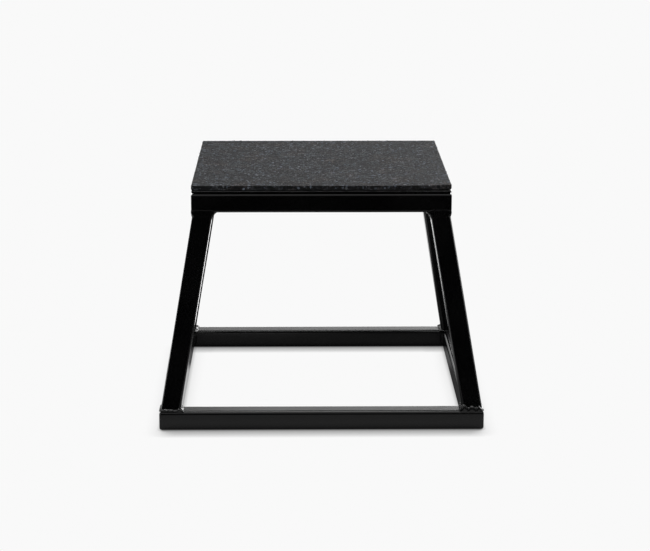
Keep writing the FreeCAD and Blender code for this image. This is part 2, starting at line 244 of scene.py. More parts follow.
class PLYOBOX_PG_weld(bpy.types.PropertyGroup):
    """Welds of the frame."""

    foot_inner: length("Foot inner reach", 3.2, "Reach of the foot welds across a rail")
    foot_reach: length("Foot outer reach", 2.0, "Reach of the foot welds on outer faces")
    foot_climb: length("Foot climb", 3.0, "Climb of the foot welds on outer faces")
    foot_bulge: length("Foot bulge", 2.4, "Swelling of the foot welds on a rail's edge")
    foot_proud: length("Foot proud", 0.1, "How far foot welds stand proud")
    head_proud: length("Head proud", 0.05, "How far head welds stand proud")
    side_reach: length("Side reach", 2.8, "Reach of the foot welds to left and right")
    side_climb: length("Side climb", 2.0, "Climb of the foot welds to left and right")
    dressed: share("Dressed", 0.9, "How much smoother they are there")
    heavy_foot: share("Heavy foot", 1.6, "Climb of the weld at the front right foot", most=4.0)
    light_foot: share("Light foot", 0.8, "Climb of the weld at the front left foot")
    rear_foot: share("Rear feet", 0.5, "Climb of the welds at the rear feet")
    foot_flatness: share("Foot flatness", 0.22, "How much lower than round foot welds are")
    foot_wander: share("Foot unevenness", 0.8, "Unevenness of the foot welds")
    foot_sink: share("Foot sink", 0.35, "How far foot welds sink down a rail")
    foot_stray: length("Foot stray", 2.6, "Stray of the foot welds up and down")
    head_inner: length("Head inner reach", 5.4, "Reach of the head welds across a rail")
    head_reach: length("Head outer reach", 3.2, "Reach of the head welds on outer faces")
    head_climb: length("Head climb", 11.0, "Climb of the head welds on outer faces")
    head_sink: share("Head sink", 0.4, "How far head welds reach up a rail")
    head_flatness: share("Head flatness", 0.4, "How much lower than round head welds are")
    corner_reach: length("Corner reach", 3.5, "Reach of the welds in inner corners")
    stitch_reach: length("Stitch reach", 3.5, "Reach of the stitches under the deck")
    stitch_length: length("Stitch length", 36, "Length of each stitch")
    stitch_offset: length("Stitch offset", 78, "Place of each stitch from its rail's middle")
    tube_corner: length("Tube corner", 4.5, "Radius of a tube's corners")
    pitch: length("Ripple pitch", 2.6, "Distance from one ripple to the next")
    depth: length("Ripple depth", 0.28, "Height of the ripples")
    flatness: share("Flatness", 0.25, "How much lower than round the other welds are")
    crescent: share("Crescent", 1.1, "How far each ripple bows ahead, in pitches", most=4.0)
    lump_size: length("Lump size", 7, "Distance from one lump to the next")
    wander: share("Unevenness", 0.25, "Unevenness of the other welds")


class PLYOBOX_PG_mat(bpy.types.PropertyGroup):
    """Rubber landing mat."""

    rubber: tint("Rubber", (0.0112, 0.0112, 0.0120), "Colour of the black crumbs")
    worn: tint("Worn rubber", (0.1290, 0.1385, 0.1535), "Colour of the worn crumbs")
    warm: tint("Warm rubber", (0.1620, 0.1410, 0.1355), "Colour of the browner worn crumbs")
    joint: tint("Joints", (0.006, 0.006, 0.006), "Colour of the joints between the crumbs")
    blue: tint("Blue flecks", (0.190, 0.221, 0.270), "Colour of the blue flecks")
    grey: tint("Grey flecks", (0.283, 0.297, 0.318), "Colour of the grey flecks")
    # The cut sides get this share of the top's lighter crumbs, so they are darker than the top
    side_crumb_share: share("Wear of the sides", 0.45, "How worn the cut sides are")
    ior: share("Refractive index", 1.24, "Refractive index of the rubber", most=3.0)
    cell: length("Mesh cell", 1.5, "Size of the surface's mesh cells")
    edge: length("Edge radius", 0.8, "Radius of the mat's upper edge")
    low_edge: length("Lower edge radius", 1.9, "Radius of the mat's lower edge")
    corner: length("Corner radius", 2, "Radius of the mat's corners")
    crumb: length("Crumb size", 3.0, "Size of the rubber crumbs")
    relief: length("Relief", 0.22, "Height of the crumbs in the surface")
    wander: length("Edge wander", 0.35, "Unevenness of the cut edges")
    wander_size: length("Edge wander size", 14, "Size of that unevenness")
    lift: length("Corner lift", 0.9, "Rise of the front right corner")
    lift_reach: length("Corner lift reach", 75, "Width of the lifted part")
    fleck_count: share("Flecks per square metre", 25000, "Number of flecks", most=1e6)
    fleck_least: length("Least fleck", 0.6, "Half width of the smallest flecks")
    fleck_most: length("Largest fleck", 2.5, "Half width of the largest flecks")
    fleck_height: share("Fleck height", 0.16, "Height of a fleck in widths")
    seed: IntProperty(name="Seed", description="Seed of the flecks", default=7)


class PLYOBOX_PG_stage(bpy.types.PropertyGroup):
    """Studio: floor, light and camera."""

    backdrop: tint("Backdrop", (0.947, 0.947, 0.947), "Colour of floor and background")
    # Painted shadow: the floor's glow is darkened where little sky is open near the rails; no lamp
    # casts it
    shadow_reach: length("Shadow reach", 30, "Reach of a rail's shadow to the front")
    shadow_power: share("Shadow strength", 1.35, "Strength of the shadow to the front", most=8.0)
    contact_reach: length("Contact reach", 5, "Reach of the contact shadow")
    contact_share: share("Contact strength", 0.55, "Strength of the contact shadow")
    floor_size: length("Floor size", 40000, "Width of the floor")
    # Painted light and shade in the floor, seen only in the coat's reflections: a glow close in
    # front and on the left, dim on the right, with painted shade inside the base and along the rear
    # rail
    dark_front: length("Dark floor", -420, "Place where the dark floor in front ends")
    front_glow: share("Glow in front", 0.45, "Floor close in front, seen in the coat")
    left_glow: share("Glow on the left", 3.5, "Floor on the left, seen in the coat", most=4.0)
    right_glow: share("Glow on the right", 0.25, "Floor on the right, seen in the coat", most=4.0)
    inner_painted_shade: share("Share inside", 0.27, "Share of that glow inside the base")
    rail_shade: share("Shade of the rear rail", 0.17, "Floor at the rear rail, seen in the coat")
    rear_light: share("Light from the rear", 2.15, "Brightness of the studio behind", most=4.0)
    high_share: share("High share", 0.2, "Share of that light high up", most=4.0)
    left_share: share("Left share", 0.18, "Share of that light on the left", most=4.0)
    right_share: share("Right share", 1.75, "Share of that light on the right", most=4.0)
    above_light: share("Light from above", 0.8, "Brightness of the studio above", most=4.0)
    soft_size: length("Soft box size", 550, "Width of the soft box above")
    soft_place: spot("Soft box place", (0.0, -0.06, 1.90), "Middle of the soft box")
    soft_power: wattage("Soft box power", 6.0, "Power of the soft box")
    side_size: length("Side light size", 700, "Width of the light at the right rear")
    side_place: spot("Side light place", (0.65, 0.85, 0.40), "Middle of that light")
    side_power: wattage("Side light power", 4.0, "Power of that light")
    lens: FloatProperty(
        name="Lens", description="Focal length", default=110.94, subtype="DISTANCE_CAMERA"
    )
    eye: spot("Eye", (-0.0285, -2.60423, 0.78965), "Place of the camera")
    yaw: bearing("Yaw", 0.775, "Turn of the view to the right")
    pitch: bearing("Pitch", 13.789, "Tilt of the view downwards")
    roll: bearing("Roll", -0.063, "Roll of the view")


# Node trees

def arithmetic(operation, reflected=False):
    """Makes a method that joins two terms by a Math node."""
    def join(self, other):
        terms = (other, self) if reflected else (self, other)
        return self.graph.math(operation, *terms)
    return join


class Link:
    """One output socket. Arithmetic on it adds Math nodes to its tree."""

    __add__ = __radd__ = arithmetic("ADD")
    __sub__ = arithmetic("SUBTRACT")
    __rsub__ = arithmetic("SUBTRACT", reflected=True)
    __mul__ = __rmul__ = arithmetic("MULTIPLY")
    __truediv__ = arithmetic("DIVIDE")
    __rtruediv__ = arithmetic("DIVIDE", reflected=True)
    __pow__ = arithmetic("POWER")

    def __init__(self, graph, socket):
        self.graph = graph
        self.socket = socket

    def other(self, output):
        """Gives another output of the same node."""
        return Link(self.graph, find_socket(self.socket.node.outputs, output))


class Graph:
    """Adds nodes to the tree of a material, of the world or of Geometry Nodes."""

    def __init__(self, tree):
        self.tree = tree

    def add(self, kind, settings=None, sockets=None, output=0):
        """Adds a node, sets it, fills or links its sockets, and gives one of its outputs."""
        node = self.tree.nodes.new(kind)
        for name, setting in (settings or {}).items():
            setattr(node, name, setting)
        for key, value in (sockets or {}).items():
            socket = find_socket(node.inputs, key)
            for item in value if isinstance(value, list) else [value]:
                if isinstance(item, Link):
                    self.tree.links.new(item.socket, socket)
                else:
                    socket.default_value = item
        return Link(self, find_socket(node.outputs, output)) if node.outputs else node

    def math(self, operation, *terms):
        return self.add("ShaderNodeMath", {"operation": operation}, dict(enumerate(terms)))

    def vector(self, operation, *terms, output="Vector"):
        settings = {"operation": operation}
        return self.add("ShaderNodeVectorMath", settings, dict(enumerate(terms)), output)

    def scale(self, vector, factor):
        sockets = {"Vector": vector, "Scale": factor}
        return self.add("ShaderNodeVectorMath", {"operation": "SCALE"}, sockets)

    def axis(self, vector, name):
        """Gives one part of a vector."""
        return self.add("ShaderNodeSeparateXYZ", None, {"Vector": vector}, name)

    def combine(self, x, y, z):
        return self.add("ShaderNodeCombineXYZ", None, {"X": x, "Y": y, "Z": z})

    def blend(self, factor, first, second):
        """Mixes two colours."""
        colours = {"Factor_Float": factor, "A_Color": first, "B_Color": second}
        return self.add("ShaderNodeMix", {"data_type": "RGBA"}, colours, "Result_Color")

    def ramp(self, value, low, high, start=0.0, end=1.0):
        """Goes smoothly from start to end as the value goes from low to high."""
        ends = {"Value": value, "From Min": low, "From Max": high, "To Min": start, "To Max": end}
        return self.add("ShaderNodeMapRange", {"interpolation_type": "SMOOTHSTEP"}, ends)

    def noise(self, place, size, detail=2.0, output="Fac"):
        """Gives smooth noise from 0 to 1, with features of about that size."""
        sockets = {"Vector": place, "Scale": 1 / size, "Detail": detail}
        return self.add("ShaderNodeTexNoise", None, sockets, output)

    def cells(self, place, size, output, feature="F1"):
        """Gives one output of a pattern of cells of about that size."""
        sockets = {"Vector": place, "Scale": 1 / size}
        return self.add("ShaderNodeTexVoronoi", {"feature": feature}, sockets, output)

    def alter(self, kind, geometry, **sockets):
        """Passes geometry through one more node."""
        return self.add(f"GeometryNode{kind}", None, {"Geometry": geometry, **spaced(sockets)})

    def store(self, geometry, label, value, kind="FLOAT", domain="POINT"):
        """Keeps a value in the geometry under a name."""
        settings = {"data_type": kind, "domain": domain}
        sockets = {"Geometry": geometry, "Name": label, "Value": value}
        return self.add("GeometryNodeStoreNamedAttribute", settings, sockets)

    def read(self, label, kind="FLOAT"):
        """Gives a value that the geometry keeps under a name."""
        return self.add("GeometryNodeInputNamedAttribute", {"data_type": kind}, {"Name": label})

    def exceeds(self, value, level):
        """Picks out where a value is greater than a level."""
        sockets = {"A": value, "B": level}
        return self.add("FunctionNodeCompare", {"operation": "GREATER_THAN"}, sockets)


def find_socket(sockets, key):
    """Finds a socket by its place or by its identifier."""
    if isinstance(key, int):
        return sockets[key]
    return next(socket for socket in sockets if socket.identifier == key)


def spaced(sockets):
    """Puts spaces for the underscores in the names of sockets."""
    return {key.replace("_", " "): value for key, value in sockets.items()}


def opaque(colour):
    return (*colour, 1.0)


def new_material(name):
    """Starts a material, and gives it, its graph and the place on the piece."""
    material = bpy.data.materials.new(name)
    material.use_nodes = True
    material.node_tree.nodes.clear()
    graph = Graph(material.node_tree)
    return material, graph, graph.add("ShaderNodeTexCoord", output="Object")


def finish_material(graph, **sockets):
    """Ends a material in one shader, whose sockets are named with underscores."""
    shader = graph.add("ShaderNodeBsdfPrincipled", None, spaced(sockets))
    graph.add("ShaderNodeOutputMaterial", None, {"Surface": shader})


def bump(graph, height, depth):
    sockets = {"Strength": 1.0, "Distance": depth, "Height": height}
    return graph.add("ShaderNodeBump", None, sockets)


def coat_material(name, coat, roughness, ior):
    """Black powder coat: soft orange peel, thick and thin patches, and dust on level faces."""
    material, graph, place = new_material(name)
    level = graph.ramp(graph.axis(place.other("Normal"), "Z"), *DUST_RANGE)
    dust = level * (coat.level_roughness - roughness)
    peel = graph.noise(place, coat.peel_size, detail=1.0)
    cloud = graph.noise(place, coat.cloud_size, detail=4.0)
    patches = (cloud - NOISE_MIDDLE) * CLOUD_ROUGHNESS
    bumps = (peel - NOISE_MIDDLE) * PEEL_ROUGHNESS
    bare = graph.ramp(cloud, *CLOUD_RANGE)
    finish_material(
        graph,
        Base_Color=graph.blend(bare, opaque(coat.full), opaque(coat.thin)),
        Roughness=roughness + dust + patches + bumps,
        IOR=ior,
        Normal=bump(graph, peel, coat.peel_depth),
    )
    return material


def glue_material(coat):
    """Dark contact adhesive, a little uneven where it was brushed on."""
    material, graph, place = new_material("contact_adhesive_film")
    brushed = graph.noise(place, BRUSH_SIZE, detail=3.0)
    finish_material(
        graph,
        Base_Color=graph.blend(brushed, opaque(coat.glue_thick), opaque(coat.glue_thin)),
        Roughness=GLUE_ROUGHNESS + brushed * THIN_GLUE_ROUGHER,
        Normal=bump(graph, brushed, BRUSH_DEPTH),
    )
    return material


def crumb_material(mat):
    """Black rubber crumbs pressed together, each with its own tone and gloss.

    The joints between them are dark. The top has lighter worn crumbs in patches and scuffs; the cut
    sides have fewer of them, so they are darker than the top.
    """
    material, graph, place = new_material("black_rubber_crumb")
    stray = graph.noise(place, mat.crumb, output="Color")
    bent = graph.vector("ADD", place, graph.scale(stray, CRUMB_STRAY * mat.crumb))
    colour = graph.cells(bent, mat.crumb, "Color")
    crumb = graph.add("ShaderNodeSeparateColor", None, {"Color": colour}, "Red")
    border = graph.cells(bent, mat.crumb, "Distance", "DISTANCE_TO_EDGE")
    joint = graph.ramp(border, 0.0, JOINT_WIDTH)
    grain = graph.noise(place, GRAIN_SIZE, detail=3.0)
    scuff = graph.ramp(graph.noise(place, SCUFF_SIZE, detail=5.0), *SCUFF_RANGE)
    patch = graph.noise(place, PATCH_SIZE)
    brown = graph.ramp(graph.noise(place, WARM_SIZE), *WARM_RANGE)
    upright = graph.axis(place.other("Normal"), "Z")
    # Fewer lighter crumbs on the cut sides, so they are darker than the top
    top_share = graph.ramp(upright, *TOP_RANGE, mat.side_crumb_share, 1.0)
    wear = (EVEN_WEAR + SCUFF_WEAR * scuff + PATCH_WEAR * patch) * top_share
    cast = graph.blend(brown, opaque(mat.worn), opaque(mat.warm))
    tone = graph.blend(graph.ramp(crumb, *WORN_RANGE) * wear, opaque(mat.rubber), cast)
    height = joint * JOINT_HEIGHT + crumb * TONE_HEIGHT + grain * GRAIN_HEIGHT
    finish_material(
        graph,
        Base_Color=graph.blend(joint, opaque(mat.joint), tone),
        Roughness=CRUMB_ROUGHNESS + crumb * TONE_ROUGHER + grain * GRAIN_ROUGHER,
        IOR=mat.ior,
        Normal=bump(graph, height, SKIN_DEPTH),
    )
    return material


def fleck_material(mat):
    """Coloured rubber flecks, mostly blue and some grey, each more or less dimmed by black."""
    material, graph, place = new_material("coloured_rubber_fleck")
    tone = graph.add("ShaderNodeAttribute", {"attribute_name": "tone"}, output="Fac")
    grain = graph.noise(place, FLECK_GRAIN)
    hue = graph.blend(graph.ramp(tone, *GREY_RANGE), opaque(mat.blue), opaque(mat.grey))
    dim = graph.ramp(graph.math("FRACT", tone * DIM_RUNS), 0.0, 1.0, *DIM_RANGE)
    finish_material(
        graph,
        Base_Color=graph.blend(dim, hue, opaque(mat.rubber)),
        Roughness=FLECK_ROUGHNESS + grain * FLECK_ROUGHER,
        IOR=mat.ior,
        Normal=bump(graph, grain, FLECK_DEPTH),
    )
    return material


# Geometry Nodes

def new_tree(name, inputs):
    """Starts a Geometry Nodes tree with named inputs, and gives it, its graph and its inputs."""
    tree = bpy.data.node_groups.new(name, "GeometryNodeTree")
    tree.interface.new_socket("Geometry", in_out="INPUT", socket_type="NodeSocketGeometry")
    for label, kind in inputs.items():
        tree.interface.new_socket(label, in_out="INPUT", socket_type=f"NodeSocket{kind}")
    tree.interface.new_socket("Geometry", in_out="OUTPUT", socket_type="NodeSocketGeometry")
    graph = Graph(tree)
    source = graph.add("NodeGroupInput").socket.node
    links = {socket.name: Link(graph, socket) for socket in source.outputs if socket.name}
    return tree, graph, links


def end_tree(graph, geometry):
    graph.add("NodeGroupOutput", None, {0: geometry})


def grow(piece, tree, settings, values):
    """Runs a tree on a piece and keeps the result as a plain mesh.

    An input takes one of these values, or else the setting of the same name.
    """
    modifier = piece.modifiers.new(tree.name, "NODES")
    modifier.node_group = tree
    for item in tree.interface.items_tree:
        if item.in_out == "INPUT" and item.name != "Geometry":
            key = item.name.lower().replace(" ", "_")
            given = values[item.name] if item.name in values else getattr(settings, key)
            modifier[item.identifier] = given
    graph = bpy.context.evaluated_depsgraph_get()
    grown = piece.evaluated_get(graph)
    mesh = bpy.data.meshes.new_from_object(grown, preserve_all_data_layers=True, depsgraph=graph)
    piece.modifiers.clear()
    piece.data = mesh


def new_piece(name, points, edges=(), faces=()):
    """Makes an object of a mesh with these points, edges and faces."""
    mesh = bpy.data.meshes.new(name)
    mesh.from_pydata(points, edges, faces)
    mesh.update()
    piece = bpy.data.objects.new(name, mesh)
    bpy.context.scene.collection.objects.link(piece)
    return piece


def hand_over(piece, node):
    """Lets a piece ride on the box and stand for a solid, whose part it hides."""
    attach(piece, BODY)
    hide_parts(node)


def bead_tree():
    """Builds the tree that turns weld paths into rippled beads.

    Each path point knows the way to the crown of the bead, and the bead's reach and climb there. A
    ring of points round the path is pushed out that far, plus lumps, plus ripples that bow ahead
    at the crown. The side away from the climb sinks. What passes the limit is ground back to it.
    """
    numbers = (
        "Pitch", "Depth", "Flatness", "Crescent", "Lump Size",
        "Wander", "Stray", "Upward", "Sink", "Limit",
    )
    inputs = {**dict.fromkeys(numbers, "Float"), "Material": "Material"}
    tree, graph, given = new_tree("Rippled Bead", inputs)
    path = graph.add("GeometryNodeMeshToCurve", None, {"Mesh": given["Geometry"]})
    steps = {"Curve": path, "Length": given["Pitch"] / RIPPLE_RINGS}
    path = graph.add("GeometryNodeResampleCurve", {"mode": "LENGTH"}, steps)
    here = graph.add("GeometryNodeInputPosition")
    along = graph.add("GeometryNodeSplineParameter", output="Length")
    path = graph.store(path, "path_place", here, "FLOAT_VECTOR")
    path = graph.store(path, "path_length", along)
    circle = {"Resolution": RING_POINTS, "Radius": MM}
    ring = graph.add("GeometryNodeCurvePrimitiveCircle", {"mode": "RADIUS"}, circle)
    sweep = {"Curve": path, "Profile Curve": ring, "Fill Caps": True}
    bead = graph.add("GeometryNodeCurveToMesh", None, sweep)

    place = graph.read("path_place", "FLOAT_VECTOR")
    loose = graph.read("loose")
    outward = graph.vector("NORMALIZE", graph.vector("SUBTRACT", here, place))
    crest = graph.read("crest", "FLOAT_VECTOR")
    crown = graph.vector("DOT_PRODUCT", outward, crest, output="Value")
    crown = graph.ramp(crown, math.cos(CROWN_ANGLE), 1.0)
    uneven = graph.noise(place, given["Lump Size"]) - NOISE_MIDDLE
    shifted = graph.vector("ADD", place, STRAY_SHIFT)
    drift = graph.noise(shifted, given["Lump Size"]) - NOISE_MIDDLE

    phase = graph.read("path_length") / given["Pitch"] - given["Crescent"] * crown
    phase = graph.math("FRACT", phase + uneven * RIPPLE_STRAY)
    ripple = graph.math("COSINE", phase ** RIPPLE_LEAN * (2 * math.pi)) * 0.5 + 0.5
    swell = 1.0 + given["Wander"] * 2.0 * uneven * loose - given["Flatness"] * crown
    rising = graph.axis(outward, "Z") * given["Upward"]
    climb = graph.read("climb") * graph.ramp(rising, *CLIMB_RANGE, given["Sink"], 1.0)
    reach = graph.read("reach")
    section = graph.combine(reach, reach, climb)
    surface = graph.scale(graph.vector("MULTIPLY", outward, section), swell)
    ripples = graph.scale(outward, given["Depth"] * (ripple - RIPPLE_LEVEL))
    stray = graph.scale(UP, given["Stray"] * drift * loose)
    surface = graph.vector("ADD", graph.vector("ADD", surface, ripples), stray)
    limit = graph.combine(given["Limit"], given["Limit"], 1.0)
    ground = graph.vector("MINIMUM", graph.vector("ADD", place, surface), limit)
    ground = graph.vector("MAXIMUM", ground, graph.scale(limit, -1.0))
    bead = graph.alter("SetPosition", bead, Position=ground)
    for label in ("path_place", "path_length", "crest", "reach", "climb", "loose"):
        bead = graph.alter("RemoveAttribute", bead, Name=label)
    bead = graph.alter("SetShadeSmooth", bead, Shade_Smooth=True)
    bead = graph.alter("RealizeInstances", bead)
    end_tree(graph, graph.alter("SetMaterial", bead, Material=given["Material"]))
    return tree


def crumb_tree():
    """Builds the tree that roughens the mat into crumbs and sets coloured flecks in it."""
    numbers = ("Crumb", "Relief", "Fleck Count", "Fleck Least", "Fleck Most", "Fleck Height")
    materials = ("Crumb Material", "Fleck Material")
    inputs = {**dict.fromkeys(numbers, "Float"), "Seed": "Int"}
    inputs.update(dict.fromkeys(materials, "Material"))
    tree, graph, given = new_tree("Crumb Rubber", inputs)
    here = graph.add("GeometryNodeInputPosition")
    facing = graph.add("GeometryNodeInputNormal", output="Normal")
    crumb = graph.cells(here, given["Crumb"], "Distance")
    lumps = graph.noise(here, given["Crumb"])
    height = (lumps - crumb - CRUMB_LEVEL) * given["Relief"]
    slab = graph.alter("SetPosition", given["Geometry"], Offset=graph.scale(facing, height))

    spread = {
        "Mesh": slab,
        "Selection": graph.exceeds(graph.axis(facing, "Z"), LOWEST_SLOPE),
        "Density": given["Fleck Count"],
        "Seed": given["Seed"],
    }
    settings = {"distribute_method": "RANDOM"}
    places = graph.add("GeometryNodeDistributePointsOnFaces", settings, spread, "Points")

    def chance(offset, low=0.0, high=1.0):
        """Draws a number for each fleck."""
        ends = {"Min_001": low, "Max_001": high, "Seed": given["Seed"] + offset}
        return graph.add("FunctionNodeRandomValue", {"data_type": "FLOAT"}, ends, "Value_001")

    spin = {"Axis": UP, "Angle": chance(1, 0.0, 2 * math.pi)}
    spin = graph.add("FunctionNodeAxisAngleToRotation", None, spin)
    turned = {"Rotation": places.other("Rotation"), "Rotate By": spin}
    lie = graph.add("FunctionNodeRotateRotation", {"rotation_space": "LOCAL"}, turned)
    least = given["Fleck Least"]
    width = least + (given["Fleck Most"] - least) * chance(2) ** 2.0
    narrow = width * chance(3, *NARROW_RANGE)
    size = graph.combine(width, narrow, width * given["Fleck Height"])
    chip = graph.add("GeometryNodeMeshIcoSphere", None, {"Radius": 1.0, "Subdivisions": 1})
    laid = {"Points": places, "Instance": chip, "Rotation": lie, "Scale": size}
    flecks = graph.add("GeometryNodeInstanceOnPoints", None, laid)
    flecks = graph.store(flecks, "tone", chance(4, LEAST_TONE, 1.0), domain="INSTANCE")

    whole = graph.alter("JoinGeometry", [slab, flecks])
    whole = graph.alter("RealizeInstances", whole)
    fleck = graph.exceeds(graph.read("tone"), 0.0)
    ragged = graph.noise(here, RAGGED_SIZE, output="Color")
    ragged = graph.vector("SUBTRACT", ragged, (NOISE_MIDDLE,) * 3)
    ragged = graph.vector("MULTIPLY", graph.scale(ragged, RAGGED_REACH), (1.0, 1.0, RAGGED_UP))
    whole = graph.alter("SetPosition", whole, Selection=fleck, Offset=ragged)
    whole = graph.alter("SetMaterial", whole, Material=given["Crumb Material"])
    whole = graph.alter("SetMaterial", whole, Selection=fleck, Material=given["Fleck Material"])
    end_tree(graph, whole)
    return tree


# Weld paths

class WeldPaths:
    """Gathers the paths of one group of welds as a mesh of edges."""

    def __init__(self):
        self.points = []
        self.edges = []

    def add(self, points, closed):
        """Adds a path. Each point has a place, the way to the crown, reach, climb and looseness."""
        first = len(self.points)
        last = first + len(points) - 1
        self.points += points
        self.edges += [(step, step + 1) for step in range(first, last)]
        if closed:
            self.edges.append((last, first))

    def lay(self, name, node, tree, weld, material, **shape):
        """Turns the paths into one piece of rippled beads that stands for a node."""
        places, crests, *measures = zip(*self.points)
        piece = new_piece(name, places, self.edges)
        parts = [part for crest in crests for part in crest.normalized()]
        crest = piece.data.attributes.new("crest", "FLOAT_VECTOR", "POINT")
        crest.data.foreach_set("vector", parts)
        for label, numbers in zip(("reach", "climb", "loose"), measures):
            measure = piece.data.attributes.new(label, "FLOAT", "POINT")
            measure.data.foreach_set("value", numbers)
        plain = {"Stray": 0.0, "Upward": 1.0, "Sink": 1.0, "Limit": 1.0}
        grow(piece, tree, weld, {**plain, "Material": material, **shape})
        hand_over(piece, node)


def heading(angle):
    """Gives the level direction at an angle from +X."""
    return Vector((math.cos(angle), math.sin(angle), 0))


def leg_weld_paths(weld, level, half, up, inner, reach, climb, bulge, dressed, hefts):
    """Runs a weld round each leg where it meets a frame.

    It is slimmer along the frame's outer faces, and it swells where it runs onto a rail's edge. A
    dressed weld becomes a smooth low fillet on the leg's left or right face.
    """
    paths = WeldPaths()
    lean = BASE_HALF - TOP_HALF
    section = (LEG_HIGH.x - LEG_LOW.x - lean) / 2
    inset = BASE_HALF - LEG_HIGH.x
    straight = section - weld.tube_corner
    for corner, (sign_x, sign_y) in CORNERS.items():
        heft = hefts.get(corner, 1.0)
        middle = Vector((sign_x, sign_y, 0)) * (half - inset - section) + UP * level
        points = []
        for quarter in range(4):
            turn = quarter * QUARTER
            quadrant = heading(turn + QUARTER / 2) * math.sqrt(2)
            for step in range(CORNER_STEPS + 1):
                outward = heading(turn + step / CORNER_STEPS * QUARTER)
                side_x, side_y = outward.x * sign_x, outward.y * sign_y
                outer = max(side_x, side_y, 0.0) ** 2
                aside = dressed * max(side_x, 0.0)
                swell = bulge * max(0.0, -2 * side_x * side_y) * (1.0 - aside) ** 2
                wide = inner + (reach - inner) * outer + swell
                high = heft * (inner + (climb - inner) * outer + swell)
                points.append((
                    middle + quadrant * straight + outward * weld.tube_corner,
                    outward + up,
                    wide + (weld.side_reach - wide) * aside,
                    high + (weld.side_climb - high) * aside,
                    1.0 - aside,
                ))
        paths.add(points, closed=True)
    return paths


def run_path(paths, start, end, crest, reach):
    """Adds one short straight weld with tapered ends."""
    taper = (end - start).normalized() * reach
    slim = reach * TAPER
    stations = ((start, slim), (start + taper, reach), (end - taper, reach), (end, slim))
    paths.add([(place, crest, size, size, 1.0) for place, size in stations], closed=False)


def corner_weld_paths(weld, node, half):
    """Runs an upright weld up each inner corner of a frame."""
    paths = WeldPaths()
    low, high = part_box(node)
    for sign_x, sign_y in CORNERS.values():
        inner = Vector((sign_x, sign_y, 0)) * (half - TUBE)
        crest = Vector((-sign_x, -sign_y, 0))
        run_path(paths, inner + UP * low.z, inner + UP * high.z, crest, weld.corner_reach)
    return paths


def stitch_weld_paths(weld):
    """Runs two short welds under the deck along each top rail's inner edge."""
    paths = WeldPaths()
    for quarter in range(4):
        turn = Matrix.Rotation(quarter * QUARTER, 3, "Z")
        inward = turn @ Vector((0, 1, 0))
        along = turn @ Vector((1, 0, 0))
        edge = UP * DECK_BOTTOM - inward * (TOP_HALF - TUBE)
        for sign in (-1, 1):
            middle = edge + along * sign * weld.stitch_offset
            half = along * weld.stitch_length / 2
            run_path(paths, middle - half, middle + half, inward - UP, weld.stitch_reach)
    return paths


# Mat

def rounded(x, y, half, radius):
    """Moves a point of a square's border onto its round corner."""
    core = half - radius
    over_x = max(abs(x) - core, 0.0)
    over_y = max(abs(y) - core, 0.0)
    reach = math.hypot(over_x, over_y)
    if reach <= radius or not over_x or not over_y:
        return x, y
    pull = radius / reach
    return math.copysign(core + over_x * pull, x), math.copysign(core + over_y * pull, y)


def mat_profile(mat, thickness):
    """Lists how far out and down the mat's border goes, from its top round to its underside."""
    angles = [step / EDGE_STEPS * QUARTER for step in range(1, EDGE_STEPS + 1)]
    side = thickness - mat.edge - mat.low_edge
    profile = []
    for angle in angles:
        profile.append((mat.edge * math.sin(angle), mat.edge * (1 - math.cos(angle))))
    for step in range(1, SIDE_STEPS + 1):
        profile.append((mat.edge, mat.edge + side * step / SIDE_STEPS))
    for angle in angles:
        out = mat.edge - mat.low_edge * (1 - math.cos(angle))
        profile.append((out, thickness - mat.low_edge * (1 - math.sin(angle))))
    return profile


def mat_slab(mat):
    """Makes the mat's slab: an even grid on top, round edges, cut sides and a flat underside."""
    inner = MAT_HIGH.x - mat.edge
    cells = round(2 * inner / mat.cell)
    ticks = [-inner + 2 * inner * step / cells for step in range(cells + 1)]
    points = [(x, y, 0.0) for y in ticks for x in ticks]
    row = cells + 1
    faces = [
        (j * row + i, j * row + i + 1, (j + 1) * row + i + 1, (j + 1) * row + i)
        for j in range(cells) for i in range(cells)
    ]
    last = row * row - 1
    border = list(range(row)) + list(range(2 * row - 1, last, row))
    border += list(range(last, last - row, -1)) + list(range(last - 2 * row + 1, 0, -row))

    ring = border
    for out, down in mat_profile(mat, MAT_HIGH.z - MAT_LOW.z):
        following = []
        for start in border:
            x, y, _ = points[start]
            x = math.copysign(inner + out, x) if abs(x) > inner - SLACK else x
            y = math.copysign(inner + out, y) if abs(y) > inner - SLACK else y
            following.append(len(points))
            points.append((x, y, -down))
        count = len(ring)
        for step in range(count):
            near, far = ring[step], ring[(step + 1) % count]
            below, beyond = following[step], following[(step + 1) % count]
            faces.append((near, below, beyond, far))
        ring = following
    faces.append(tuple(reversed(ring)))
    return [settle(mat, Vector(point)) for point in points], faces


def settle(mat, point):
    """Gives a slab point its place: round corners, a wandering cut edge, a lifted front corner."""
    half = MAT_HIGH.x
    x, y = rounded(point.x, point.y, half, mat.corner)
    push = mat.wander * noise.noise(Vector((x, y, 0.0)) / mat.wander_size)
    x += math.copysign(push, x) * (abs(x) / half > RIM)
    y += math.copysign(push, y) * (abs(y) / half > RIM)
    away = math.hypot(x - half, y - MAT_LOW.y)
    rise = mat.lift * max(0.0, 1.0 - away / mat.lift_reach) ** 2
    return (x, y, MAT_HIGH.z + point.z + rise)


# Operators

class PLYOBOX_OT_coat_frame(bpy.types.Operator):
    """Coat the rails and legs"""

    bl_idname = "plyobox.coat_frame"
    bl_label = "Coat Rails and Legs"

    def execute(self, context):
        coat = context.scene.plyobox_coat
        material = coat_material("black_powder_coat", coat, coat.roughness, coat.ior)
        for name in TUBES:
            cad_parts[name].material_slots[0].material = material
        return {"FINISHED"}


